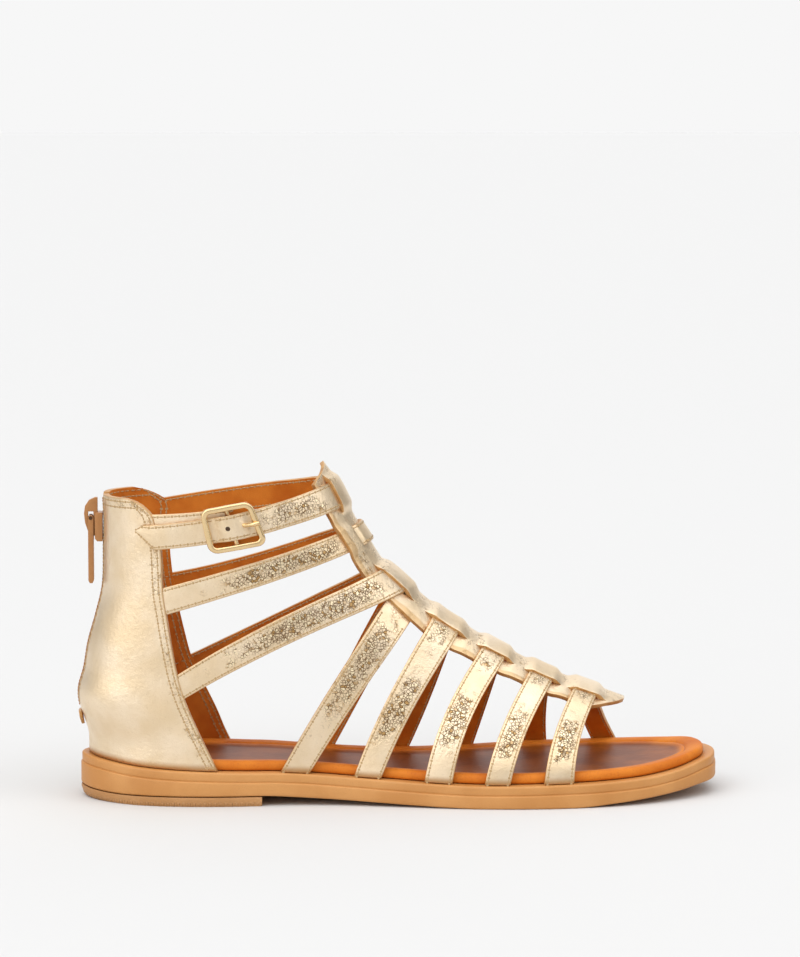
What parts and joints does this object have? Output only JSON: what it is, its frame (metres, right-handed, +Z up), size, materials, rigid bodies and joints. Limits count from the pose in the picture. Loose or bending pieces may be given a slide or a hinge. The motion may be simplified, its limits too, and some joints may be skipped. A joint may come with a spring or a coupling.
{
  "type": "gladiator sandal",
  "caption": "Right gladiator sandal: a closed heel counter with a back zip, slim straps woven through a raised spine over the open foot, a buckled ankle strap and a flat sole.",
  "frame": {"origin": "middle of the heel lift's flat underside", "axes": "+X to the toe, +Y to the inner side of the foot, +Z up"},
  "size_m": [0.2359, 0.0856, 0.1228],
  "materials": {
    "gum_rubber": "satin moulded gum",
    "gum_light": "satin moulded gum",
    "tan_leather": "smooth, polished in the middle",
    "gold_leather": "metallic foil with dark crackle, tan edges and lining",
    "zip_tape": "woven tape with fine teeth",
    "tan_metal": "satin lacquer",
    "gold_metal": "polished pale gold"
  },
  "bodies": {
    "shoe": {"outsole": "gum_rubber", "heel_lift": "gum_light", "insole": "tan_leather", "upper": "gold_leather", "zip_chain": "zip_tape", "zip_slider": "tan_metal", "buckle_frame": "gold_metal", "buckle_prong": "gold_metal"},
    "pull": {"zip_pull": "tan_metal"}
  },
  "joints": [
    {"name": "zip_pull_hinge", "type": "hinge", "parent": "shoe", "child": "pull", "pos_m": [-0.02876, 0, 0.10238], "axis": [0, 1, 0], "range_deg": [-2, 150]}
  ]
}
